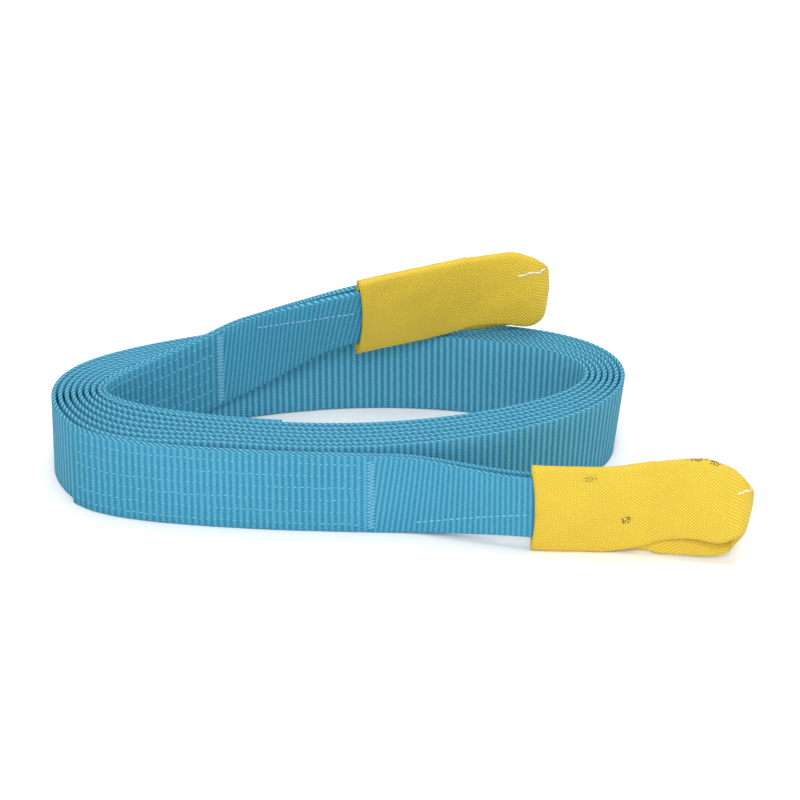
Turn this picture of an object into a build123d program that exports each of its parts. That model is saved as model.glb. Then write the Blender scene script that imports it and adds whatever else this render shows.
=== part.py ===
from build123d import *
from math import atan2, cos, degrees, exp, hypot, pi, radians, sin
import os

# A flat web sling, wound up for storage. One length of polyester webbing is wound on edge into
# an oval coil. Each end is folded back into an eye and sewn to itself over a splice, and a woven
# sleeve covers the eye. The webbing's width stands upright, so Z runs across the web.
# Millimetres. The origin is under the middle of the whole object, on the surface it stands on.

# Webbing and sewing thread
WEB_WIDTH = 60.0
WEB_THICKNESS = 3.0
PLY_GAP = 0.3          # air between two plies that are sewn together
JOINT_GAP = 0.3        # air between two stretches of webbing where the strap can bend
THREAD = 0.5           # how far the thread stands out of the web
THREAD_GAP = 0.3       # keeps the thread's solids clear of the web's

# The oval that the coil is wound on, and how far apart its turns lie
COIL_CENTRE = (-38.8, 27.2)
COIL_HALF_LENGTH = 165.5
COIL_HALF_WIDTH = 58.8
COIL_TURN = radians(4.2)      # the oval's long axis, from +X
COIL_TAPER = 0.09             # one end of the oval is fuller than the other
COIL_PINCH = -0.17            # the sides bow in a little
PITCH = 4.15                  # mean distance from one turn to the next
PITCH_SLACK = 0.88            # more at the front, less at the back
BULGE = 2.3                   # extra room at the front left, where the stiff splice starts
BULGE_ANGLE = 208.0
BULGE_SPREAD = 20.0
FIRST_TURN = 0.5              # where the rear end leaves the coil, in turns from +X
LAST_TURN = 7.545             # where the front end leaves it
TURN_COUNT = 7                # the last turn is a little longer than the others
TAIL_TURN = 0.70              # where the rear splice's inner ply is cut off
POINTS_PER_TURN = 36

# Splices and eyes, measured along the strap
STITCH_ROWS = 6
FIRST_ROW = 6.5               # the lowest row's height above the web's lower edge
ROW_SPACING = 9.4
STITCH_INSET = 4.0            # the rows stop this far short of the end of the tail
TAIL_CLEARANCE = 3.0          # from the bend line to the near end of an inner or outer tail
BAR_TACK_LENGTH = 7.0
BAR_TACK_MARGIN = 3.0         # from each edge of the web
PLY_SECTION_STEP = 7.0        # distance between the sections that a ply is lofted through
EYE_LENGTH = 248.0            # bar tack to the middle of the crown's bend
CROWN_RADIUS = 9.5
MOUTH = 104.0                 # bar tack to the sleeve's mouth
MOUTH_HALF_GAP = 3.5
BULB_START = 185.0            # where the two legs begin to part for the crown
FLARE_START = 200.0           # where the sleeve begins to narrow
EYE_SECTION_STEP = 9.0
CROWN_ANGLES = (-90, -60, -30, 0, 30, 60, 90)
EYE_WIDTH_AT_MOUTH = 44.0     # the web's edge is turned in, so the eye is narrower
EYE_WIDTH_AT_CROWN = 32.0
SLEEVE_HEIGHT = 66.0
SLEEVE_HEIGHT_AT_CROWN = 52.0
FAR_LEG_DROP = 3.0            # the far leg sits lower and is a little flatter
CROWN_TWIST = 7.0             # at the crown the near leg rises and the far leg sinks
SLEEVE_WALL = 1.0
SLEEVE_CLEARANCE = 0.3
SLEEVE_TACK_LENGTH = 12.0
SLEEVE_TACK_HEIGHT = 11.0     # above the middle of the web
SLEEVE_TACK_STANDOFF = 4.0    # from the end of the straight leg
FOLD_SEAM_START = 25.0        # the seam that holds the turned-in edge
FOLD_SEAM_END = 100.0
FOLD_SEAM_INSET = 6.0         # below the fold at the bar tack
FOLD_SEAM_DRIFT = 12.0        # how much further from it at the mouth
FOLD_SEAM_STEP = 13.0

# The run of each end as (distance, value) pairs: heading, slope and roll in degrees
FRONT_SPLICE_LENGTH = 218
FRONT_SPLICE_HEADING = [(0, -48), (12, -38), (26, -24), (45, -15), (80, -8.5), (120, -6), (170, -3),
                        (FRONT_SPLICE_LENGTH, -2)]
FRONT_EYE_HEADING = [(0, -2), (40, -14), (85, -14), (125, -2), (EYE_LENGTH, -3)]
FRONT_EYE_SLOPE = [(0, 0), (20, 2), (90, 2), (106, 0), (140, 0), (168, 4.5)]
FRONT_EYE_ROLL = [(150, 0), (EYE_LENGTH, -4)]
REAR_SPLICE_END = 0.338       # the rear bar tack, in turns from +X
REAR_SPLICE_RISE = 20.0       # how far the rear splice climbs to its bar tack
REAR_EYE_HEADING = [(0, 14), (24, -5), (72, -5), (110, 9), (165, 19)]
REAR_EYE_SLOPE = [(0, 20), (35, 28), (72, 26), (108, 10), (150, 4), (EYE_LENGTH, -4)]
REAR_EYE_ROLL = [(0, 0), (100, 12), (160, 11), (EYE_LENGTH, -4)]
REAR_EYE_REACH = 0.955        # the rear eye lies slack, so it reaches less far than its length

LEVEL = ((0, 0),)             # no slope, or no roll

os.makedirs("parts", exist_ok=True)


def finish(part, label):
    part.label = label
    export_step(part, f"parts/{label}.step")


def between(knots, s):
    """The value at s of a curve that runs level through each (distance, value) pair."""
    if s <= knots[0][0]:
        return knots[0][1]
    for (start, low), (end, high) in zip(knots, knots[1:]):
        if s <= end:
            return low + (high - low) * (1 - cos(pi * (s - start) / (end - start))) / 2
    return knots[-1][1]


# The coil --------------------------------------------------------------------------------

def oval(angle):
    """A point on the oval, before it is turned and placed."""
    x = COIL_HALF_LENGTH * cos(angle) * (1 + COIL_PINCH * sin(angle) ** 2)
    y = COIL_HALF_WIDTH * sin(angle) * (1 + COIL_TAPER * cos(angle))
    return x, y


def coil_point(turn, offset=0.0):
    """The middle of the web after so many turns from +X, moved outwards by offset."""
    angle = 2 * pi * turn
    step = 1e-4
    x, y = oval(angle)
    x_before, y_before = oval(angle - step)
    x_after, y_after = oval(angle + step)
    along_x, along_y = x_after - x_before, y_after - y_before
    size = hypot(along_x, along_y)
    from_bulge = (degrees(angle) % 360 - BULGE_ANGLE) / BULGE_SPREAD
    pitch = PITCH - PITCH_SLACK * sin(angle) + BULGE * exp(-from_bulge ** 2)
    out = pitch * (turn - FIRST_TURN) + WEB_THICKNESS / 2 + offset
    x += out * along_y / size
    y -= out * along_x / size
    return (COIL_CENTRE[0] + x * cos(COIL_TURN) - y * sin(COIL_TURN),
            COIL_CENTRE[1] + x * sin(COIL_TURN) + y * cos(COIL_TURN))


def coil_heading(turn):
    x_before, y_before = coil_point(turn - 1e-4)
    x_after, y_after = coil_point(turn + 1e-4)
    return degrees(atan2(y_after - y_before, x_after - x_before))


def turn_after(turn, distance):
    """The turn reached by going a short distance along the coil."""
    x_before, y_before = coil_point(turn - 1e-3)
    x_after, y_after = coil_point(turn + 1e-3)
    return turn + distance * 2e-3 / hypot(x_after - x_before, y_after - y_before)


def wound_web(start, end, offset=0.0, thickness=WEB_THICKNESS, low=0.0, high=WEB_WIDTH):
    """Webbing wound on edge along the coil, as the face between two spirals, extruded."""
    count = max(6, round((end - start) * POINTS_PER_TURN))
    turns = [start + (end - start) * i / count for i in range(count + 1)]
    with BuildPart() as web:
        with BuildSketch(Plane.XY.offset(low)):
            with BuildLine():
                outside = Spline([coil_point(turn, offset + thickness / 2) for turn in turns])
                inside = Spline([coil_point(turn, offset - thickness / 2) for turn in turns])
                Line(outside @ 0, inside @ 0)
                Line(outside @ 1, inside @ 1)
            make_face()
        extrude(amount=high - low)
    return web.part


# Each stretch stops short of the next by a hair, so that no two nodes share a face.
bend = WEB_THICKNESS / 2 + JOINT_GAP
coil_start = turn_after(FIRST_TURN, bend)
coil_end = turn_after(LAST_TURN, -bend)
for number in range(TURN_COUNT):
    first = coil_start if number == 0 else FIRST_TURN + number
    last = coil_end if number == TURN_COUNT - 1 else turn_after(FIRST_TURN + number + 1, -PLY_GAP)
    finish(wound_web(first, last), f"webbing_turn_{number + 1}")

# The inner ply of the rear splice runs on round the coil's left bend to its cut end.
ply_step = WEB_THICKNESS + PLY_GAP
tail_start = turn_after(FIRST_TURN, bend + TAIL_CLEARANCE)
finish(wound_web(tail_start, TAIL_TURN, offset=-ply_step), "rear_tail_end")

row_heights = [FIRST_ROW + ROW_SPACING * i for i in range(STITCH_ROWS)]
row_offset = ply_step + (WEB_THICKNESS + THREAD) / 2 + THREAD_GAP
with BuildPart() as rear_tail_stitching:
    for height in row_heights:
        add(wound_web(tail_start, turn_after(TAIL_TURN, -STITCH_INSET), offset=-row_offset,
                      thickness=THREAD, low=height - THREAD, high=height + THREAD))
finish(rear_tail_stitching.part, "rear_tail_stitching")


# The two ends ----------------------------------------------------------------------------
# An end is a list of stations one millimetre apart, each (x, y, z, heading, roll).

def walk(start, length, heading, slope=LEVEL, roll=LEVEL, reach=1.0):
    """Stations along a strap that sets off from start and turns by its heading and slope.

    A reach below 1 is for a strap that ripples, so each millimetre of it gets less far.
    """
    x, y, z = start
    stations = []
    for s in range(round(length) + 1):
        stations.append((x, y, z, between(heading, s), between(roll, s)))
        turn = radians(between(heading, s + 0.5))
        climb = radians(between(slope, s + 0.5))
        x += reach * cos(turn) * cos(climb)
        y += reach * sin(turn) * cos(climb)
        z += reach * sin(climb)
    return stations


def unwind(start, end, rise):
    """Stations along the inner end of the coil, from one turn back to another, climbing as it goes."""
    turns = [start]
    while turns[-1] > end:
        turns.append(turn_after(turns[-1], -1.0))
    stations = []
    for i, turn in enumerate(turns):
        x, y = coil_point(turn)
        z = WEB_WIDTH / 2 + rise * (i / (len(turns) - 1)) ** 2
        stations.append((x, y, z, coil_heading(turn) + 180, 0))
    return stations


def station_at(stations, s):
    """The station at a distance between two of the listed ones."""
    i = max(0, min(int(s), len(stations) - 2))
    return tuple(a + (b - a) * (s - i) for a, b in zip(stations[i], stations[i + 1]))


def across(stations, s, side=0.0, up=0.0, angle=0.0):
    """The plane that cuts the strap at s. Its X runs through the web and its Y up the web.

    side moves it to the left of the run, up along the web, and angle turns it from the run.
    """
    x, y, z, heading, roll = station_at(stations, s)
    along = Vector(cos(radians(heading)), sin(radians(heading)), 0)
    level_left = Vector(-along.Y, along.X, 0)
    left = level_left * cos(radians(roll)) + Vector(0, 0, sin(radians(roll)))
    upward = Vector(0, 0, cos(radians(roll))) - level_left * sin(radians(roll))
    facing = along * cos(radians(angle)) + left * sin(radians(angle))
    through = left * cos(radians(angle)) - along * sin(radians(angle))
    return Plane(Vector(x, y, z) + left * side + upward * up, x_dir=through, z_dir=facing)


def band(stations, places, sizes):
    """A strip lofted through upright rectangles, each at (s, side, up, angle)."""
    with BuildPart() as strip:
        for (s, side, up, angle), (thickness, height) in zip(places, sizes):
            with BuildSketch(across(stations, s, side, up, angle)):
                Rectangle(thickness, height)
        loft()
    return strip.part


def spaced(start, end, step):
    count = max(2, round((end - start) / step))
    return [start + (end - start) * i / count for i in range(count + 1)]


def straight_ply(stations, start, end, side, thickness=WEB_THICKNESS, height=WEB_WIDTH, up=0.0):
    """One ply alongside the strap's middle line."""
    distances = spaced(start, end, PLY_SECTION_STEP)
    return band(stations, [(s, side, up, 0) for s in distances], [(thickness, height)] * len(distances))


def half_gap(s):
    """Half the distance between the middles of an eye's two legs."""
    sewn = (WEB_THICKNESS + PLY_GAP) / 2
    return between([(0, sewn), (MOUTH, MOUTH_HALF_GAP), (BULB_START, MOUTH_HALF_GAP),
                    (EYE_LENGTH - CROWN_RADIUS, CROWN_RADIUS)], s)


def hairpin(start, drop=0.0, twist=0.0):
    """Places along the near leg, round the crown and back along the far leg."""
    middle = EYE_LENGTH - CROWN_RADIUS
    legs = []
    bulb = spaced(BULB_START, middle, EYE_SECTION_STEP)
    for s in spaced(start, BULB_START, EYE_SECTION_STEP) + bulb[1:-1]:
        spread = degrees(atan2(half_gap(s + 0.5) - half_gap(s - 0.5), 1))
        legs.append((s, half_gap(s), spread))
    crown = []
    for a in CROWN_ANGLES:
        up = -twist * sin(radians(a)) - drop * (1 + sin(radians(a))) / 2
        crown.append((middle + CROWN_RADIUS * cos(radians(a)), CROWN_RADIUS * sin(radians(a)), up, a + 90))
    near = [(s, -gap, between([(BULB_START, 0), (middle, twist)], s), -spread) for s, gap, spread in legs]
    far = [(s, gap, between([(BULB_START, -drop), (middle, -drop - twist)], s), 180 + spread)
           for s, gap, spread in reversed(legs)]
    return near + crown + far


def sleeve_height(s):
    return between([(FLARE_START, SLEEVE_HEIGHT), (EYE_LENGTH, SLEEVE_HEIGHT_AT_CROWN)], s)


def eye_width(s):
    return between([(0, WEB_WIDTH), (MOUTH, EYE_WIDTH_AT_MOUTH), (EYE_LENGTH, EYE_WIDTH_AT_CROWN)], s)


def eye_web(stations):
    """The eye's webbing, whose two legs start side by side at the bar tack."""
    places = hairpin(0, 0, CROWN_TWIST)
    return band(stations, places, [(WEB_THICKNESS, eye_width(s)) for s, _, _, _ in places])


def eye_sleeve(stations):
    """A flat woven tube over the eye, open at both mouths."""
    outer = WEB_THICKNESS + 2 * (SLEEVE_CLEARANCE + SLEEVE_WALL)
    inner = outer - 2 * SLEEVE_WALL
    places = hairpin(MOUTH, FAR_LEG_DROP, CROWN_TWIST)
    heights = []
    for s, side, _, _ in places:
        far_share = min(1, max(0, 0.5 + side / (2 * CROWN_RADIUS))) if s > BULB_START else side > 0
        heights.append(sleeve_height(s) - 2 * FAR_LEG_DROP * far_share)
    outer_tube = band(stations, places, [(outer, height) for height in heights])
    hollow = band(stations, places, [(inner, height - 2 * SLEEVE_WALL) for height in heights])
    with BuildPart() as sleeve:
        add(outer_tube)
        add(hollow, mode=Mode.SUBTRACT)
    return sleeve.part


def stitch_rows(stations, start, end, side):
    """Rows of lockstitch along the splice, one thin solid for each row."""
    with BuildPart() as rows:
        for height in row_heights:
            add(straight_ply(stations, start, end, side, THREAD, 2 * THREAD, height - WEB_WIDTH / 2))
    return rows.part


def bar_tack(stations, end, side):
    """The dense cross row that closes a splice."""
    return straight_ply(stations, end - BAR_TACK_LENGTH, end, side, 2 * THREAD,
                        WEB_WIDTH - 2 * BAR_TACK_MARGIN)


def fold_seam(stations, edge):
    """The stitch line that holds the eye's turned-in edge, up to the sleeve."""
    outside = (WEB_THICKNESS + THREAD) / 2 + THREAD_GAP
    places = []
    for s in spaced(FOLD_SEAM_START, FOLD_SEAM_END, FOLD_SEAM_STEP):
        below_fold = FOLD_SEAM_INSET + FOLD_SEAM_DRIFT * s / MOUTH
        places.append((s, -half_gap(s) - outside, edge * (eye_width(s) / 2 - below_fold), 0))
    return band(stations, places, [(THREAD, 2 * THREAD)] * len(places))


def sleeve_tack(stations):
    """The short tack that holds the sleeve to the eye near the crown."""
    outside = (WEB_THICKNESS + THREAD) / 2 + SLEEVE_CLEARANCE + SLEEVE_WALL + 2 * THREAD_GAP
    end = EYE_LENGTH - CROWN_RADIUS - SLEEVE_TACK_STANDOFF
    places = [(s, -half_gap(s) - outside, SLEEVE_TACK_HEIGHT, 0)
              for s in (end - SLEEVE_TACK_LENGTH, end - SLEEVE_TACK_LENGTH / 2, end)]
    return band(stations, places, [(THREAD, 4 * THREAD)] * len(places))


ply_side = -(WEB_THICKNESS + PLY_GAP)
row_side = ply_side - (WEB_THICKNESS + THREAD) / 2 - THREAD_GAP
crease = WEB_THICKNESS + PLY_GAP / 2 + JOINT_GAP


def strap_end(side, splice_line, eye_knots, folded_edge):
    """Every piece of one end: the sewn splice and, past its bar tack, the sleeved eye."""
    length = len(splice_line) - 1
    splice_end = length - crease
    tack_start = splice_end - BAR_TACK_LENGTH
    finish(straight_ply(splice_line, 0, splice_end, 0), f"{side}_splice_web")
    finish(straight_ply(splice_line, TAIL_CLEARANCE, splice_end, ply_side), f"{side}_splice_tail")
    finish(stitch_rows(splice_line, TAIL_CLEARANCE + STITCH_INSET, tack_start - JOINT_GAP, row_side),
           f"{side}_splice_stitching")
    finish(bar_tack(splice_line, splice_end, row_side - THREAD / 2), f"{side}_bar_tack")
    between_plies = across(splice_line, length, ply_side / 2).origin
    eye_line = walk(tuple(between_plies), EYE_LENGTH + 2, *eye_knots)
    finish(eye_web(eye_line), f"{side}_eye_web")
    finish(eye_sleeve(eye_line), f"{side}_eye_sleeve")
    finish(fold_seam(eye_line, folded_edge), f"{side}_fold_seam")
    finish(sleeve_tack(eye_line), f"{side}_sleeve_tack")


# Front end: the coil's last ply runs straight on, with its tail sewn to the outside.
front_start = (*coil_point(LAST_TURN), WEB_WIDTH / 2)
front_line = walk(front_start, FRONT_SPLICE_LENGTH, FRONT_SPLICE_HEADING)
strap_end("front", front_line, (FRONT_EYE_HEADING, FRONT_EYE_SLOPE, FRONT_EYE_ROLL), -1)

# Rear end: the coil's first ply, led back along the inside of the coil and up over its rim.
rear_line = unwind(FIRST_TURN, REAR_SPLICE_END, REAR_SPLICE_RISE)
rear_eye = (REAR_EYE_HEADING, REAR_EYE_SLOPE, REAR_EYE_ROLL, REAR_EYE_REACH)
strap_end("rear", rear_line, rear_eye, 1)
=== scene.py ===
from math import atan2, ceil, cos, degrees, exp, hypot, pi, radians, sin, sqrt, tan

import bmesh
import bpy
from mathutils import Matrix, Vector, noise


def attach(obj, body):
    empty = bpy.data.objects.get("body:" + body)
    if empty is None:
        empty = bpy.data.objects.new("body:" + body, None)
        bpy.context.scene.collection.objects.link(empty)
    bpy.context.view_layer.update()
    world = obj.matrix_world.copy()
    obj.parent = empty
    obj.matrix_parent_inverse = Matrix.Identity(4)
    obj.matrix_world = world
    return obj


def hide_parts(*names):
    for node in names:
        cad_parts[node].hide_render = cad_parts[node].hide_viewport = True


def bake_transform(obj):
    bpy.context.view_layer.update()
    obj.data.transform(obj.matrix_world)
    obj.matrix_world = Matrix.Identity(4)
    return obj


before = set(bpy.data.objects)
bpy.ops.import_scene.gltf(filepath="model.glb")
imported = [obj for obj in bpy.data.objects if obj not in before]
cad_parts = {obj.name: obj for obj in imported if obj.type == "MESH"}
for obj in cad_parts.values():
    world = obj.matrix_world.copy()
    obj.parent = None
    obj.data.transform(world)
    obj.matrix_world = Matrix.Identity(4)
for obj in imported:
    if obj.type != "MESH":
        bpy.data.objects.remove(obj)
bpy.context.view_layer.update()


# Webbing, wound up -----------------------------------------------------------------------
# One length of blue polyester webbing, 60 mm wide and 3 mm thick, woven in cross ribs. It is
# wound on edge into an oval of seven turns, and only its own stiffness holds it there.
MM = 0.001
WIDTH = 60.0
THICK = 3.1
SELVAGE_ROUND = 0.9
RIB = 4.45
YARN = 1.55


def linear(code):
    """A hex sRGB colour as linear RGBA."""
    parts = [int(code[i:i + 2], 16) / 255 for i in (1, 3, 5)]
    return [c / 12.92 if c <= 0.04045 else ((c + 0.055) / 1.055) ** 2.4 for c in parts] + [1.0]


def node(tree, kind, inputs=(), **settings):
    """Adds a shader node. Its inputs are values, sockets or other nodes, in order or by name."""
    made = tree.nodes.new("ShaderNode" + kind)
    for name, value in settings.items():
        setattr(made, name, value)
    for name, value in inputs.items() if isinstance(inputs, dict) else enumerate(inputs):
        if isinstance(value, bpy.types.Node):
            value = value.outputs[0]
        if isinstance(value, bpy.types.NodeSocket):
            tree.links.new(value, made.inputs[name])
        else:
            made.inputs[name].default_value = value
    return made


def grain(millimetres):
    """A noise texture's scale, for features of this size."""
    return 1 / (millimetres * MM)


def wave(tree, distance, pitch, shift=0.0):
    """A wave from 0 to 1 along a distance in millimetres, peaking once for each pitch."""
    turns = node(tree, "Math", (distance, 2 * pi / pitch), operation="MULTIPLY")
    turns = node(tree, "Math", (turns, shift), operation="ADD")
    swing = node(tree, "Math", (turns,), operation="COSINE")
    return node(tree, "Math", (swing, 0.5, 0.5), operation="MULTIPLY_ADD")


def strip_axes(tree):
    """The distance along the strip and round it, in millimetres, and where its edge is."""
    both = node(tree, "SeparateXYZ", (node(tree, "UVMap", uv_map="strip"),))
    edge = node(tree, "Attribute", attribute_name="edge")
    return both.outputs[0], both.outputs[1], edge.outputs["Fac"]


def webbing_material(name, base, light, dark, rib_contrast):
    """Polyester webbing, woven in cross ribs: the yarns on top of each rib catch the light and
    the grooves stay dark, with fine warp yarns across the ribs and slanting ones on the selvage."""
    made = bpy.data.materials.new(name)
    made.use_nodes = True
    tree = made.node_tree
    shader = tree.nodes["Principled BSDF"]
    along, round_, edge = strip_axes(tree)
    space = node(tree, "TexCoord").outputs["Object"]
    wobble = node(tree, "TexNoise", {"Vector": space, "Scale": grain(3.85), "Detail": 3.0})
    fibres = node(tree, "TexNoise", {"Vector": space, "Scale": grain(0.714), "Detail": 2.0})
    patches = node(tree, "TexNoise", {"Vector": space, "Scale": grain(45.5), "Detail": 2.0})
    jitter = node(tree, "Math", (wobble, 0.9, -0.45), operation="MULTIPLY_ADD")
    uneven = node(tree, "Math", (along, jitter), operation="ADD")
    rib = node(tree, "Math", (wave(tree, uneven, RIB), 1.5), operation="POWER")
    yarn_turn = node(tree, "Math", (along, pi / RIB), operation="MULTIPLY")
    yarns = wave(tree, round_, YARN, yarn_turn)
    slant = node(tree, "Math", (round_, 1.9, along), operation="MULTIPLY_ADD")
    slant = node(tree, "Math", (slant, jitter), operation="ADD")
    selvage = node(tree, "Math", (wave(tree, slant, RIB), 1.3), operation="POWER")
    rib = node(tree, "Math", (rib, rib_contrast), operation="MULTIPLY")
    face = node(tree, "Math", (yarns, 0.3, rib), operation="MULTIPLY_ADD")
    face = node(tree, "Math", (fibres, 0.45, face), operation="MULTIPLY_ADD")
    face = node(tree, "Math", (face, -0.22), operation="ADD")
    relief = node(tree, "Mix", {0: edge, 2: face, 3: selvage}, data_type="FLOAT")
    faded = node(tree, "Math", (patches, 0.5), operation="MULTIPLY")
    body = node(tree, "Mix", {0: faded, 6: linear(base), 7: linear(dark)}, data_type="RGBA")
    lit = node(tree, "MapRange", (relief, 0.15, 1.05, 0.0, 0.85))
    colour = node(tree, "Mix", {0: lit, 6: body.outputs[2], 7: linear(light)}, data_type="RGBA")
    groove = node(tree, "MapRange", (relief, 0.0, 0.28, 0.75, 0.0))
    colour = node(tree, "Mix", {0: groove, 6: colour.outputs[2], 7: linear(dark)}, data_type="RGBA")
    tree.links.new(colour.outputs[2], shader.inputs["Base Color"])
    bump = node(tree, "Bump", {"Height": relief, "Distance": 0.6 * MM, "Strength": 0.8})
    tree.links.new(bump.outputs[0], shader.inputs["Normal"])
    shader.inputs["Roughness"].default_value = 0.75
    shader.inputs["Specular IOR Level"].default_value = 0.1
    return made


blue_webbing = webbing_material("blue polyester webbing", "#3A8CA9", "#79B9D6", "#19708B", 0.65)

COIL_CENTRE = (-38.8, 27.2)
HALF_LENGTH = 165.5
HALF_BREADTH = 58.8
OVAL_TURN = radians(4.2)    # the oval's long axis, from +X
TAPER = 0.09                # one end of the oval is fuller than the other
PINCH = 0.17                # its sides bow in a little
INNER_OFFSET = 1.5          # from the oval to the middle of the first turn's web
TURN_PITCH = 4.15           # from one turn to the next
PITCH_SLACK = 0.88          # more of that at the front, less at the back
BULGE = 2.3                 # extra room at the front left, where the stiff splice starts
BULGE_ANGLE = 208
BULGE_SPREAD = 20
FIRST_TURN = 0.5            # where the rear end leaves the coil, in turns from +X
LAST_TURN = 7.545           # where the front end leaves it
END_LEAN = 6.5              # how far the web leans at the right-hand end, its lower edge inwards
FINE = 1e-4                 # a short way round, to find which way the web runs
STEP = 3.0                  # distance between the sections of a strip


def oval(angle):
    return (HALF_LENGTH * cos(angle) * (1 - PINCH * sin(angle) ** 2),
            HALF_BREADTH * sin(angle) * (1 + TAPER * cos(angle)))


def coil_point(turn, offset=0.0):
    """The middle of the wound web after so many turns from +X, moved outwards by offset."""
    angle = 2 * pi * turn
    x, y = oval(angle)
    x0, y0 = oval(angle - FINE)
    x1, y1 = oval(angle + FINE)
    size = hypot(x1 - x0, y1 - y0)
    bulge = (degrees(angle) % 360 - BULGE_ANGLE) / BULGE_SPREAD
    pitch = TURN_PITCH - PITCH_SLACK * sin(angle) + BULGE * exp(-bulge ** 2)
    out = pitch * (turn - FIRST_TURN) + INNER_OFFSET + offset
    x += out * (y1 - y0) / size
    y -= out * (x1 - x0) / size
    return (COIL_CENTRE[0] + x * cos(OVAL_TURN) - y * sin(OVAL_TURN),
            COIL_CENTRE[1] + x * sin(OVAL_TURN) + y * cos(OVAL_TURN))


def coil_heading(turn):
    x0, y0 = coil_point(turn - FINE)
    x1, y1 = coil_point(turn + FINE)
    return degrees(atan2(y1 - y0, x1 - x0))


def turn_after(turn, distance):
    short = 1e-3
    x0, y0 = coil_point(turn - short)
    x1, y1 = coil_point(turn + short)
    return turn + distance * 2 * short / hypot(x1 - x0, y1 - y0)


def coil_run(start, end, step):
    """Turns from start to end, so many millimetres apart, and the distance at each."""
    turns, distances = [start], [0.0]
    while turns[-1] < end:
        turns.append(min(end, turn_after(turns[-1], step)))
        distances.append(distances[-1] + step)
    return turns, distances


def place(x, y, z, heading, roll=0.0, side=0.0, up=0.0, turn=0.0):
    """A point on a strap and its axes: (middle, direction to the left, direction up the web)."""
    along = Vector((cos(radians(heading)), sin(radians(heading)), 0))
    level = Vector((-along.y, along.x, 0))
    left = level * cos(radians(roll)) + Vector((0, 0, sin(radians(roll))))
    upward = Vector((0, 0, cos(radians(roll)))) - level * sin(radians(roll))
    through = left * cos(radians(turn)) - along * sin(radians(turn))
    return Vector((x, y, z)) + left * side + upward * up, through, upward


def coil_place(turn, offset=0.0):
    """A place on the coil, leaning where the coil leans."""
    lean = END_LEAN * max(0.0, cos(2 * pi * turn)) ** 3
    return place(*coil_point(turn, offset), WIDTH / 2, coil_heading(turn), lean)


def section(width, rows=8):
    """The outline of a strip, from its low near corner: (side, height, distance round, edge)."""
    half, thin = width / 2, THICK / 2
    flat = half - SELVAGE_ROUND
    outline = []
    for sign, start in ((-1, 0.0), (1, width + THICK)):
        for i in range(rows + 1):
            climb = flat * (2 * i / rows - 1)
            outline.append((sign * thin, -sign * climb, start + half + climb, 0.0))
        for i in range(1, 5):
            a = pi * i / 5
            height = -sign * (flat + SELVAGE_ROUND * sin(a))
            outline.append((sign * thin * cos(a), height, start + width + THICK * i / 5, 1.0))
    return outline


def finished(name, mesh, material):
    """The object made of a bmesh, at the origin, with its finish."""
    data = bpy.data.meshes.new(name)
    mesh.to_mesh(data)
    mesh.free()
    data.materials.append(material)
    made = bpy.data.objects.new(name, data)
    bpy.context.scene.collection.objects.link(made)
    return made


def swept(name, places, outlines, distances, material, rib_lean=None):
    """A closed strip: a flat grid wrapped round the outline at each place, then capped."""
    spans, count = len(places) - 1, len(outlines[0])
    mesh = bmesh.new()
    bmesh.ops.create_grid(mesh, x_segments=spans, y_segments=count, size=0.5)
    uv = mesh.loops.layers.uv.new("strip")
    edge = mesh.verts.layers.float.new("edge")
    spot = {}
    for v in mesh.verts:
        i, k = round((v.co.x + 0.5) * spans), round((v.co.y + 0.5) * count)
        side, height, round_, edging = outlines[i][k % count]
        if k == count:
            round_ = 2 * outlines[i][-1][2] - outlines[i][-2][2]
        middle, left, upward = places[i]
        v.co = (middle + left * side + upward * height) * MM
        v[edge] = edging
        shift = rib_lean(distances[i], height) if rib_lean else 0.0
        spot[v.index] = (distances[i] + shift, round_)
    for face in mesh.faces:
        face.smooth = True
        for loop in face.loops:
            loop[uv].uv = spot[loop.vert.index]
    bmesh.ops.remove_doubles(mesh, verts=mesh.verts, dist=1e-7)
    ends = [e for e in mesh.edges if e.is_boundary]
    for e in ends:
        e.smooth = False
    bmesh.ops.holes_fill(mesh, edges=ends)
    bmesh.ops.recalc_face_normals(mesh, faces=mesh.faces)
    return finished(name, mesh, material)


# The coil's two ends belong to the splices' pieces, which bend away from it. The web's edge
# lies a little unevenly, as hand-wound webbing does.
REAR_OVERLAP = 26.0
FRONT_OVERLAP = 44.0
RIPPLE = 0.3
RIPPLES_PER_TURN = 9.0
LIFT = 0.25                 # keeps the rippling edge clear of the floor
turns, distances = coil_run(turn_after(FIRST_TURN, REAR_OVERLAP),
                            turn_after(LAST_TURN, -FRONT_OVERLAP), STEP)
coil_places = []
for turn in turns:
    middle, left, upward = coil_place(turn)
    lift = LIFT + RIPPLE * noise.noise(Vector((turn * RIPPLES_PER_TURN, 0.0, 4.0)))
    coil_places.append((middle + upward * lift, left, upward))
COIL_LENGTH = distances[-1]
coil_webbing = swept("coil_webbing", coil_places, [section(WIDTH, rows=6)] * len(turns), distances,
                     blue_webbing)
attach(coil_webbing, "coil")
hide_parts(*[f"webbing_turn_{i}" for i in range(1, 8)])


# Front splice ----------------------------------------------------------------------------
# The coil's last stretch runs straight on along the front, and its tail is laid back over the
# outside. Six rows of pale blue polyester thread sew the plies together, and a zigzag bar
# tack closes them.
EYE_JOIN = 7.0              # the eye's webbing starts this far before the end of the splice
PLY = 3.3                   # from the middle of one ply to the next
TAIL_START = 3.0
FRONT_SPLICE = 218
FRONT_HEADING = [(0, -48), (12, -38), (26, -24), (45, -15), (80, -8.5), (120, -6), (170, -3), (218, -2)]
LEVEL = ((0, 0),)


def between(knots, s):
    """The value at s of a curve that runs level through each (distance, value) pair."""
    if s <= knots[0][0]:
        return knots[0][1]
    for (start, low), (end, high) in zip(knots, knots[1:]):
        if s <= end:
            return low + (high - low) * (1 - cos(pi * (s - start) / (end - start))) / 2
    return knots[-1][1]


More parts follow.
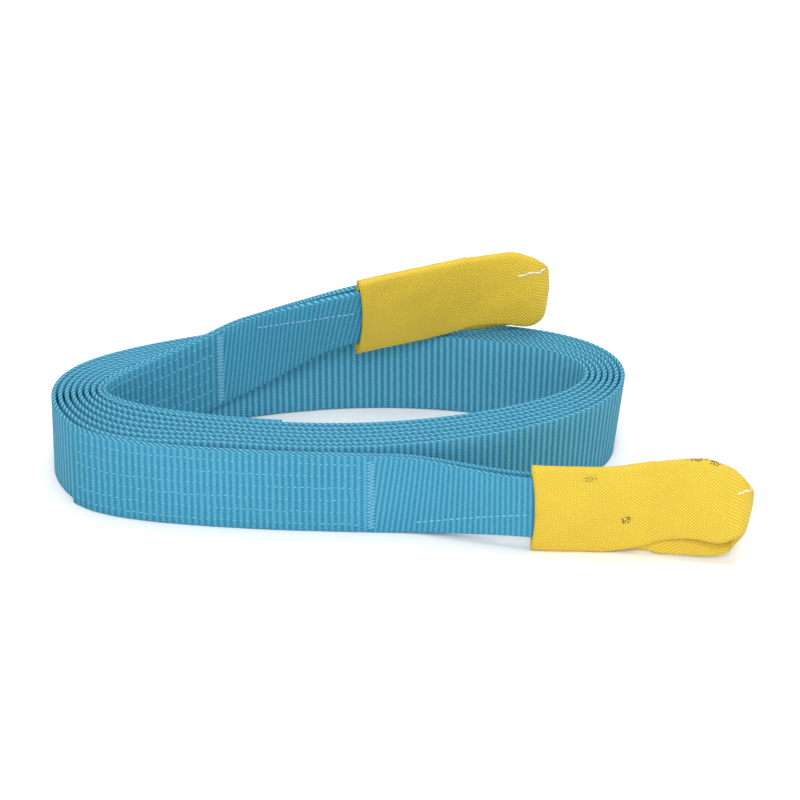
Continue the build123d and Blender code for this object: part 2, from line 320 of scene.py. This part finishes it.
def walk(start, length, heading, slope=LEVEL, roll=LEVEL, reach=1.0):
    """Stations a millimetre apart along a strap, each (x, y, z, heading, roll)."""
    x, y, z = start
    stations = []
    for s in range(round(length) + 1):
        stations.append((x, y, z, between(heading, s), between(roll, s)))
        turn, climb = radians(between(heading, s + 0.5)), radians(between(slope, s + 0.5))
        x += reach * cos(turn) * cos(climb)
        y += reach * sin(turn) * cos(climb)
        z += reach * sin(climb)
    return stations


def along_line(stations, s, side=0.0, up=0.0, turn=0.0):
    """A place at any distance. Before the first station or after the last the strap runs straight."""
    i = max(0, min(int(s), len(stations) - 2))
    x, y, z, heading, roll = [a + (b - a) * (s - i) for a, b in zip(stations[i], stations[i + 1])]
    return place(x, y, z, heading, roll, side, up, turn)


def steps(start, end, step):
    count = max(2, ceil(abs(end - start) / step))
    return [start + (end - start) * i / count for i in range(count + 1)]


front_line = walk((*coil_point(LAST_TURN), WIDTH / 2), FRONT_SPLICE, FRONT_HEADING)
turns, distances = coil_run(turn_after(LAST_TURN, -FRONT_OVERLAP), LAST_TURN, STEP)
front_places = [coil_place(turn) for turn in turns[:-1]]
distances = distances[:-1]
for s in steps(0, FRONT_SPLICE - EYE_JOIN, STEP):
    front_places.append(along_line(front_line, s))
    distances.append(FRONT_OVERLAP + s)
front_webbing = swept("front_splice_webbing", front_places, [section(WIDTH)] * len(front_places),
                      [COIL_LENGTH + d for d in distances], blue_webbing)
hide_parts("front_splice_web")
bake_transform(front_webbing)

sewn_webbing = webbing_material("blue polyester webbing, sewn flat", "#3A8CA9", "#6FB0CE", "#19708B", 0.45)
tail = steps(TAIL_START, FRONT_SPLICE - EYE_JOIN, STEP)
front_tail = swept("front_splice_tail_webbing", [along_line(front_line, s, -PLY) for s in tail],
                   [section(WIDTH)] * len(tail), [s + 1.7 for s in tail], sewn_webbing)
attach(front_tail, "front_splice")
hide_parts("front_splice_tail")


def thread_material(name, base, dark):
    """Twisted polyester sewing thread: its plies give fine lights and darks, with a soft sheen."""
    made = bpy.data.materials.new(name)
    made.use_nodes = True
    tree = made.node_tree
    shader = tree.nodes["Principled BSDF"]
    space = node(tree, "TexCoord").outputs["Object"]
    twist = node(tree, "TexNoise", {"Vector": space, "Scale": grain(0.556), "Detail": 1.0})
    colour = node(tree, "Mix", {0: twist, 6: linear(dark), 7: linear(base)}, data_type="RGBA")
    tree.links.new(colour.outputs[2], shader.inputs["Base Color"])
    bump = node(tree, "Bump", {"Height": twist, "Distance": 0.2 * MM, "Strength": 0.6})
    tree.links.new(bump.outputs[0], shader.inputs["Normal"])
    shader.inputs["Roughness"].default_value = 0.5
    return made


def stitched(name, stitches, radius, material, body, node_name):
    """Stitches as rounded lengths of thread, each from one point to another."""
    mesh = bmesh.new()
    for start, end in stitches:
        line = end - start
        turned = line.to_track_quat("Z", "X").to_matrix().to_4x4()
        scale = Matrix.Diagonal((radius, radius, line.length / 2 + radius * 0.5, 1))
        bmesh.ops.create_icosphere(mesh, subdivisions=2, radius=1.0,
                                   matrix=Matrix.Translation((start + end) / 2 * MM)
                                   @ turned @ Matrix.Scale(MM, 4) @ scale)
    for face in mesh.faces:
        face.smooth = True
    made = finished(name, mesh, material)
    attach(made, body)
    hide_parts(node_name)
    return made


STITCH_PITCH = 4.6
STITCH = 3.0
SURFACE = THICK / 2 + 0.1   # the thread's middle, from the middle of the web it lies on
ROW_HEIGHTS = [6.5 + 9.4 * i - WIDTH / 2 for i in range(6)]
ROW_SLOPE = 0.3             # each stitch ends this much higher than it starts
ROWS_START = 7.0
ROWS_STOP = 12.0            # short of the end of the splice
ROW_THREAD = 0.42
TACK_START = 9.5            # also short of the end of the splice
TACK_STOP = 4.0
TACK_THREAD = 0.4
TACK_MARGIN = 3.5           # from the bar tack to each edge of the web
TACK_PITCH = 1.3


def splice_rows(stations, length):
    """The rows of lockstitch on the outer ply of a splice, sewn a little unevenly."""
    stitches = []
    for number, row in enumerate(ROW_HEIGHTS):
        seed = row + WIDTH / 2
        s = ROWS_START + (number * 1.7) % STITCH_PITCH
        while s + STITCH < length - ROWS_STOP:
            height = row + noise.noise(Vector((s * 0.11, seed, 1.0)))
            short = 1.0 + noise.noise(Vector((s * 0.7, seed, 6.0)))
            a = along_line(stations, s, -PLY - SURFACE, height)[0]
            b = along_line(stations, s + STITCH - short, -PLY - SURFACE, height + ROW_SLOPE)[0]
            stitches.append((a, b))
            s += STITCH_PITCH
    return stitches


def bar_tack(stations, length):
    """Thread laid to and fro across the end of the splice."""
    stitches = []
    height = TACK_MARGIN - WIDTH / 2
    a, b = length - TACK_START, length - TACK_STOP
    while height < WIDTH / 2 - TACK_MARGIN:
        stitches.append((along_line(stations, a, -PLY - SURFACE, height)[0],
                         along_line(stations, b, -PLY - SURFACE, height + TACK_PITCH)[0]))
        height += TACK_PITCH
        a, b = b, a
    return stitches


pale_thread = thread_material("thread, pale blue", "#7EBBD6", "#4494B5")
front_rows = stitched("front_splice_thread", splice_rows(front_line, FRONT_SPLICE), ROW_THREAD,
                      pale_thread, "front_splice", "front_splice_stitching")
front_bar = stitched("front_bar_tack_thread", bar_tack(front_line, FRONT_SPLICE), TACK_THREAD,
                     pale_thread, "front_splice", "front_bar_tack")


# Rear splice -----------------------------------------------------------------------------
# The coil's first stretch turns back along the inside of the coil and climbs over its rim.
# Its tail lies on the inner side and runs on round the left bend, sewn down all the way with
# the same thread, and those stitches belong to the coil.
REAR_RISE = 20.0
REAR_END = 0.338            # the rear bar tack, in turns from +X
TAIL_TURN = 0.70            # where the tail is cut off
rear_turns = [FIRST_TURN]
while rear_turns[-1] > REAR_END:
    rear_turns.append(turn_after(rear_turns[-1], -1.0))
REAR_SPLICE = len(rear_turns) - 1
rear_line = []
for i, turn in enumerate(rear_turns):
    height = WIDTH / 2 + REAR_RISE * (i / REAR_SPLICE) ** 2
    rear_line.append((*coil_point(turn), height, coil_heading(turn) + 180, 0.0))


def rear_run(end, offset):
    """Places and distances of a strap from a turn of the coil back to the rear eye."""
    turns, distances = coil_run(FIRST_TURN, end, STEP)
    places = []
    for turn in reversed(turns[1:]):
        middle, left, upward = coil_place(turn, offset)
        places.append((middle, -left, upward))
    length = distances[-1]
    distances = [length - d for d in reversed(distances[1:])]
    for s in steps(0, REAR_SPLICE - EYE_JOIN, STEP):
        places.append(along_line(rear_line, s, offset))
        distances.append(length + s)
    return places, distances


rear_places, distances = rear_run(turn_after(FIRST_TURN, REAR_OVERLAP), 0.0)
rear_webbing = swept("rear_splice_webbing", rear_places, [section(WIDTH)] * len(rear_places),
                     [-d for d in distances], blue_webbing)
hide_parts("rear_splice_web")
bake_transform(rear_webbing)

tail_places, distances = rear_run(TAIL_TURN, -PLY)
rear_tail = swept("rear_tail_webbing", tail_places, [section(WIDTH)] * len(tail_places), distances,
                  sewn_webbing)
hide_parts("rear_splice_tail", "rear_tail_end")
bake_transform(rear_tail)
rear_rows = stitched("rear_splice_thread", splice_rows(rear_line, REAR_SPLICE), ROW_THREAD,
                     pale_thread, "rear_splice", "rear_splice_stitching")
rear_bar = stitched("rear_bar_tack_thread", bar_tack(rear_line, REAR_SPLICE), TACK_THREAD,
                    pale_thread, "rear_splice", "rear_bar_tack")

tail_stitches = []
turns, _ = coil_run(turn_after(FIRST_TURN, 5), turn_after(TAIL_TURN, -8), STITCH_PITCH)
for row in ROW_HEIGHTS:
    for turn in turns:
        short = 1.0 + noise.noise(Vector((turn * 400, row + WIDTH / 2, 6.0)))
        a, _, upward = coil_place(turn, -PLY - SURFACE)
        b = coil_place(turn_after(turn, STITCH - short), -PLY - SURFACE)[0]
        tail_stitches.append((a + upward * row, b + upward * (row + ROW_SLOPE)))
tail_rows = stitched("rear_tail_thread", tail_stitches, ROW_THREAD, pale_thread, "coil",
                     "rear_tail_stitching")


# Eyes ------------------------------------------------------------------------------------
# Past the bar tack the two plies part into an eye. Its edge is turned in on the inside and held
# by one seam, so the web is narrower here, with one soft folded edge and one crisp selvage.
EYE = 248.0                 # bar tack to the middle of the crown's bend
CROWN = 9.5
MOUTH = 104.0               # bar tack to the sleeve's mouth
MIDDLE = EYE - CROWN        # where the straight legs end and the crown's bend begins
LEG_GAP = 3.5
TWIST_START = 150           # from here on towards the crown, the two legs part in height
RIB_CLOSER = 1.2            # the eye's ribs are pressed closer together
FOLD_REACH = 5.0            # how far in from the edge the fold is thicker
FOLD_BULGE = 1.5            # how much it stands out on the inside of the eye
FOLD_SHIFT = 0.3            # and how far the whole edge moves outwards


def half_gap(s):
    return between([(0, PLY / 2), (MOUTH, LEG_GAP), (185, LEG_GAP), (MIDDLE, CROWN)], s)


def eye_width(s):
    return between([(0, WIDTH), (MOUTH, 46), (218, 40), (242, 24)], s)


def hairpin(stations, start, drop, rise, nose, sink, lean):
    """The near leg, round the crown and back: (place, s, side, distance) for each step.

    Towards the crown the near leg rises, then falls at the nose. The far leg sinks, and its lower
    edge leans out under the near leg, so that the crown's hole shows below.
    """
    legs = steps(start, MIDDLE, STEP)
    run = []
    for s in legs:
        spread = degrees(atan2(half_gap(s + 0.5) - half_gap(s - 0.5), 1))
        height = between([(TWIST_START, 0), (215, rise), (MIDDLE, nose)], s)
        run.append((s, -half_gap(s), height, -spread, 0.0, s))
    for degree in range(-75, 90, 15):
        a = radians(degree)
        height = (nose + sink) / 2 - (nose - sink) / 2 * sin(a)
        run.append((MIDDLE + CROWN * cos(a), CROWN * sin(a), height, degree + 90,
                    lean * (1 + sin(a)) / 2, MIDDLE + CROWN * (a + pi / 2)))
    for s in reversed(legs):
        spread = degrees(atan2(half_gap(s + 0.5) - half_gap(s - 0.5), 1))
        height = between([(TWIST_START, -drop), (MIDDLE, sink)], s)
        run.append((s, half_gap(s), height, 180 + spread, between([(TWIST_START, 0), (225, lean)], s),
                    2 * MIDDLE + CROWN * pi - s))
    placed = []
    for s, side, up, turn, tilt, distance in run:
        middle, through, upward = along_line(stations, s, side, up, turn)
        c, d = cos(radians(tilt)), sin(radians(tilt))
        tilted = (middle, through * c + upward * d, upward * c - through * d)
        placed.append((tilted, s, side, distance))
    return placed


def eye_webbing(side, stations, splice_line, fold_up, lean_knots, twist):
    """One eye from its bar tack out to the crown and back. fold_up is 1 where the fold is on top."""
    places, outlines, distances = [], [], []
    for placed, s, across, distance in hairpin(stations, -EYE_JOIN, 0, **twist):
        if s < 0:
            length = len(splice_line) - 1
            placed = along_line(splice_line, length + s, across - PLY / 2, 0.0, 180 if across > 0 else 0)
        places.append(placed)
        fold = between([(15, 0), (70, 1)], s)
        shape = []
        for x, height, round_, edging in section(eye_width(s), rows=12):
            near_fold = fold * max(0.0, 1 - (eye_width(s) / 2 - fold_up * height) / FOLD_REACH)
            if x > 0:
                x += FOLD_BULGE * near_fold
            shape.append((x - FOLD_SHIFT * near_fold, height, round_, edging))
        outlines.append(shape)
        distances.append(distance * RIB_CLOSER)
    made = swept(f"{side}_eye_webbing", places, outlines, distances, sewn_webbing,
                 lambda s, height: -tan(radians(between(lean_knots, s))) * height * (1 if s < EYE else 0))
    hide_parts(f"{side}_eye_web")
    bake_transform(made)
    return made


SEAM_START = 25.0
SEAM_END = 99.0
SEAM_INSET = 6.0            # below the fold at the bar tack
SEAM_DRIFT = 12.0           # how much further from it at the mouth
SEAM_THREAD = 0.6


def seam(stations, edge):
    """The seam that holds the turned-in edge of an eye. edge is 1 for the upper one."""
    stitches = []
    s = SEAM_START
    while s < SEAM_END:
        ends = []
        for at in (s, s + STITCH):
            height = edge * (eye_width(at) / 2 - SEAM_INSET - SEAM_DRIFT * at / MOUTH)
            ends.append(along_line(stations, at, -half_gap(at) - SURFACE, height)[0])
        stitches.append(tuple(ends))
        s += STITCH_PITCH
    return stitches


blue_thread = thread_material("thread, blue", "#8CC6E0", "#2F87A5")

FRONT_TWIST = {"rise": 7.0, "nose": 3.0, "sink": -12.0, "lean": 18.0}
front_eye = walk(along_line(front_line, FRONT_SPLICE, -PLY / 2)[0], EYE + 2,
                 heading=[(0, -2), (40, -14), (85, -14), (125, -2), (EYE, -9)],
                 slope=[(0, 0), (20, 2), (90, 2), (106, 0), (140, 0), (168, 4.5)],
                 roll=[(150, 0), (EYE, -16)])
front_eye_webbing = eye_webbing("front", front_eye, front_line, -1, [(0, 9), (100, 0)], FRONT_TWIST)
front_seam = stitched("front_fold_thread", seam(front_eye, -1), SEAM_THREAD, blue_thread, "front_eye",
                      "front_fold_seam")

REAR_TWIST = {"rise": 1.0, "nose": -3.0, "sink": -9.0, "lean": 14.0}
rear_eye = walk(along_line(rear_line, REAR_SPLICE, -PLY / 2)[0], EYE + 2,
                heading=[(0, 14), (24, -5), (72, -5), (110, 9), (165, 19)],
                slope=[(0, 20), (35, 28), (72, 26), (108, 10), (150, 4), (EYE, -4)],
                roll=[(0, 0), (100, 12), (160, 11), (EYE, -4)], reach=0.955)
rear_eye_webbing = eye_webbing("rear", rear_eye, rear_line, 1, [(0, 9), (70, 10), (100, 14)], REAR_TWIST)
rear_seam = stitched("rear_fold_thread", seam(rear_eye, 1), SEAM_THREAD, blue_thread, "rear_eye",
                     "rear_fold_seam")


# Sleeves ---------------------------------------------------------------------------------
# A wear sleeve over each eye: a flat tube of coarse yellow plain weave, open at both mouths and
# held by a few white stitches near the crown. It is soft, so it flares a little at the mouth.
WEAVE = 2.4                 # the real yarns are nearer 1.5 mm, too fine to show at this distance
WALL = 1.0
TUBE_DEPTH = 5.6
FAR_DROP = 3.0              # the far leg lies lower and is a little flatter
FLARE = 1.4                 # how much deeper the tube is at its mouths
CROWNED = 0.8               # how far the outer side swells
DENT = 0.9                  # the deepest dent in it
RAGGED = 0.35               # how uneven the folds are
SCOOP_OUTER = 3.2           # how far the mouth's edge curves back in the middle of each side
SCOOP_INNER = -1.4
SLEEVE_ROWS = 14
GRIME = "#4C452C"


def sleeve_material(name, base, light, dark, scuffs=()):
    """Coarse plain weave: crossing yarns catch the light as rows of dots, with a little dirt.

    A scuff is (distance along, distance round, reach, strength), and shows as dark specks.
    """
    made = bpy.data.materials.new(name)
    made.use_nodes = True
    tree = made.node_tree
    shader = tree.nodes["Principled BSDF"]
    along, round_, _ = strip_axes(tree)
    space = node(tree, "TexCoord").outputs["Object"]
    patches = node(tree, "TexNoise", {"Vector": space, "Scale": grain(38.5), "Detail": 3.0})
    fibres = node(tree, "TexNoise", {"Vector": space, "Scale": grain(1.11), "Detail": 2.0})
    warp = wave(tree, node(tree, "Math", (along, round_), operation="ADD"), WEAVE)
    weft = wave(tree, node(tree, "Math", (along, round_), operation="SUBTRACT"), WEAVE)
    dots = node(tree, "Math", (warp, weft), operation="MULTIPLY")
    relief = node(tree, "Math", (fibres, 0.25, dots), operation="MULTIPLY_ADD")
    faded = node(tree, "Math", (patches, 0.5), operation="MULTIPLY")
    colour = node(tree, "Mix", {0: faded, 6: linear(base), 7: linear(dark)}, data_type="RGBA")
    shade = node(tree, "MapRange", (relief, 0.1, 0.5, 0.55, 0.0))
    colour = node(tree, "Mix", {0: shade, 6: colour.outputs[2], 7: linear(dark)}, data_type="RGBA")
    lit = node(tree, "MapRange", (relief, 0.65, 1.2, 0.0, 0.8))
    colour = node(tree, "Mix", {0: lit, 6: colour.outputs[2], 7: linear(light)}, data_type="RGBA")
    dirt = node(tree, "TexNoise", {"Vector": space, "Scale": grain(29.4), "Detail": 8.0, "Roughness": 0.75})
    stain = node(tree, "MapRange", (dirt, 0.70, 0.78, 0.0, 0.7))
    colour = node(tree, "Mix", {0: stain, 6: colour.outputs[2], 7: linear(GRIME)}, data_type="RGBA")
    specks = node(tree, "TexNoise", {"Vector": space, "Scale": grain(1.333), "Detail": 2.0})
    sparse = node(tree, "Math", (specks, -0.42), operation="ADD")
    for at, up, reach, strength in scuffs:
        away = []
        for distance, centre, extent in ((along, at, reach), (round_, up, 3.5)):
            offset = node(tree, "Math", (distance, centre), operation="SUBTRACT")
            offset = node(tree, "Math", (offset, extent), operation="DIVIDE")
            away.append(node(tree, "Math", (offset, 2.0), operation="POWER"))
        near = node(tree, "Math", (1.0, node(tree, "Math", away, operation="ADD")), operation="SUBTRACT")
        near = node(tree, "Math", (near, 0.0), operation="MAXIMUM")
        rubbed = node(tree, "Math", (sparse, near), operation="MULTIPLY")
        mark = node(tree, "MapRange", (rubbed, 0.02, 0.08, 0.0, strength))
        colour = node(tree, "Mix", {0: mark, 6: colour.outputs[2], 7: linear(GRIME)}, data_type="RGBA")
    tree.links.new(colour.outputs[2], shader.inputs["Base Color"])
    bump = node(tree, "Bump", {"Height": relief, "Distance": 0.5 * MM, "Strength": 0.8})
    tree.links.new(bump.outputs[0], shader.inputs["Normal"])
    shader.inputs["Roughness"].default_value = 0.55
    shader.inputs["Specular IOR Level"].default_value = 0.35
    return made


def sleeve_height(s):
    """Full height along the legs, rounded off towards the crown's nose."""
    return between([(155, 66), (218, 58)], s) * sqrt(1 - (max(0.0, s - 222) / 34) ** 2)


def tube_outline(height, thickness, rows):
    """A flattened tube with rounded folds and a crowned outer side: (side, height, distance round)."""
    half, depth = height / 2, thickness / 2
    outline = []
    for sign in (-1, 1):
        for i in range(rows + 1):
            t = 2 * i / rows - 1
            swell = CROWNED * (1 - t * t) if sign < 0 else 0.0
            outline.append((sign * (depth + swell), -sign * t * (half - depth)))
        for i in range(1, 5):
            a = pi * i / 5
            outline.append((sign * depth * cos(a), -sign * (half - depth + depth * sin(a))))
    total, measured = 0.0, []
    for i, (x, up) in enumerate(outline):
        if i:
            total += hypot(x - outline[i - 1][0], up - outline[i - 1][1])
        measured.append((x, up, total))
    return measured


def sleeve(side, stations, twist, seed, material):
    """One eye's sleeve: the tube's outside and inside, joined at both mouths."""
    run = hairpin(stations, MOUTH, FAR_DROP, **twist)
    leg = len(run)
    run += [(placed, s, across, distance + 1.1) for placed, s, across, distance in reversed(run)]
    count = len(run)
    round_count = 2 * (SLEEVE_ROWS + 5)
    mesh = bmesh.new()
    bmesh.ops.create_grid(mesh, x_segments=count, y_segments=round_count, size=0.5)
    uv = mesh.loops.layers.uv.new("strip")
    rings = []
    for i, ((middle, left, upward), s, across, distance) in enumerate(run):
        from_mouth = min(i % leg, leg - 1 - i % leg)
        far = min(1, max(0, 0.5 + across / (2 * CROWN))) if s > 185 else across > 0
        height = sleeve_height(s) - 2 * FAR_DROP * far
        thick = TUBE_DEPTH + FLARE * exp(-from_mouth / 2.0)
        if i >= leg:
            height, thick = height - 2 * WALL, thick - 2 * WALL
        forward = left.cross(upward) * (-1 if across > 0 else 1)
        ring = []
        for x, h, round_ in tube_outline(height, thick, SLEEVE_ROWS):
            level = h / (height / 2)
            cloth = noise.noise(Vector((distance * 0.045, h * 0.06, seed))) + 0.5
            dent = -DENT * max(0.0, cloth) * (1 - level ** 2) if x < 0 else 0.0
            ragged = RAGGED * noise.noise(Vector((distance * 0.09, 7.0 * (h > 0), seed + 3)))
            scoop = SCOOP_OUTER if x < 0 else SCOOP_INNER
            scoop *= (1 - level ** 2) * exp(-from_mouth / 2.5)
            spot = middle + left * (x + dent) + upward * (h + ragged * abs(level)) + forward * scoop
            ring.append((spot * MM, distance, round_))
        rings.append(ring)
    strip = {}
    for v in mesh.verts:
        i, k = round((v.co.x + 0.5) * count), round((v.co.y + 0.5) * round_count)
        v.co, distance, round_ = rings[i % count][k % round_count]
        if k == round_count:
            round_ += rings[i % count][-1][2] + 2.0
        strip[v.index] = (distance, round_)
    for face in mesh.faces:
        face.smooth = True
        for loop in face.loops:
            loop[uv].uv = strip[loop.vert.index]
    bmesh.ops.remove_doubles(mesh, verts=mesh.verts, dist=1e-7)
    bmesh.ops.recalc_face_normals(mesh, faces=mesh.faces)
    made = finished(f"{side}_sleeve", mesh, material)
    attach(made, f"{side}_eye")
    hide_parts(f"{side}_eye_sleeve")
    return made


CROWN_TACK_HEIGHT = 12.0    # above the middle of the web
CROWN_TACK_OUT = 4.1        # from the middle of the web to the sleeve's surface


def crown_tack(stations, first, last):
    """Four long stitches through the sleeve, from one angle round the crown to another. An angle
    under -90 degrees is on the straight leg before it."""
    stitches = []
    for i in range(4):
        ends = []
        for share in (i / 4, i / 4 + 0.3):
            at = first + (last - first) * share
            a = max(-90.0, at)
            s = MIDDLE + CROWN * cos(radians(a)) + min(0.0, at + 90) * 0.4
            side = max(-half_gap(s), CROWN * sin(radians(a)))
            lift = CROWN_TACK_HEIGHT + 0.9 * (i % 2) + share
            middle, left, _ = along_line(stations, s, side, lift, a + 90)
            ends.append(middle - left * CROWN_TACK_OUT)
        stitches.append(tuple(ends))
    return stitches


white_thread = thread_material("thread, white", "#F5F5F0", "#B9B7A8")

SCUFFS = [(168, 22, 5, 0.9), (214, 56, 9, 0.8), (227, 55, 5, 0.95), (143, 56, 6, 0.45)]
scuffed_weave = sleeve_material("yellow woven sleeve, scuffed", "#E3C62A", "#FBF0A0", "#B58E14", SCUFFS)
front_sleeve = sleeve("front", front_eye, FRONT_TWIST, 5.0, scuffed_weave)
front_tack = stitched("front_crown_thread", crown_tack(front_eye, -70, -10), SEAM_THREAD, white_thread,
                      "front_eye", "front_sleeve_tack")

yellow_weave = sleeve_material("yellow woven sleeve", "#E3C62A", "#FBF0A0", "#B58E14")
rear_sleeve = sleeve("rear", rear_eye, REAR_TWIST, 2.0, yellow_weave)
rear_tack = stitched("rear_crown_thread", crown_tack(rear_eye, -128, -60), SEAM_THREAD, white_thread,
                     "rear_eye", "rear_sleeve_tack")


# Studio ----------------------------------------------------------------------------------
# A plain pale floor, a white sky and three broad soft lights: one from the front, one lower to
# the right, and one overhead that lights the webbing's upper edges.
floor_mesh = bmesh.new()
bmesh.ops.create_grid(floor_mesh, x_segments=1, y_segments=1, size=6.0)
floor_data = bpy.data.meshes.new("floor")
floor_mesh.to_mesh(floor_data)
floor_mesh.free()
floor = bpy.data.objects.new("floor", floor_data)
bpy.context.scene.collection.objects.link(floor)
matt_paint = bpy.data.materials.new("matt paint, pale")
matt_paint.use_nodes = True
matt_paint.node_tree.nodes["Principled BSDF"].inputs["Base Color"].default_value = linear("#F7F7F7")
matt_paint.node_tree.nodes["Principled BSDF"].inputs["Roughness"].default_value = 0.9
floor_data.materials.append(matt_paint)

world = bpy.data.worlds.new("studio")
world.use_nodes = True
world.node_tree.nodes["Background"].inputs["Color"].default_value = linear("#FFFFFF")
world.node_tree.nodes["Background"].inputs["Strength"].default_value = 0.7
bpy.context.scene.world = world
bpy.context.scene.view_settings.view_transform = "Standard"


def soft_light(name, location, aim, size, power):
    """A square area light turned towards a point."""
    data = bpy.data.lights.new(name, "AREA")
    data.size = size
    data.energy = power
    made = bpy.data.objects.new(name, data)
    made.location = location
    made.rotation_euler = (Vector(aim) - Vector(location)).to_track_quat("-Z", "Y").to_euler()
    bpy.context.scene.collection.objects.link(made)


soft_light("key", (-0.1, -2.0, 1.9), (0, 0, 0.03), 1.0, 34)
soft_light("fill", (0.9, -2.1, 0.8), (0, 0.03, 0.06), 1.2, 8)
soft_light("top", (0.1, 0.3, 1.9), (0, 0, 0.03), 1.6, 20)

camera_data = bpy.data.cameras.new("camera")
camera_data.lens = 194.8
camera_data.sensor_width = 36.0
camera_data.clip_end = 20.0
camera = bpy.data.objects.new("camera", camera_data)
camera.location = (0.0029, -2.5860, 1.5520)
camera.rotation_euler = (radians(60), 0, 0)
bpy.context.scene.collection.objects.link(camera)
bpy.context.scene.camera = camera
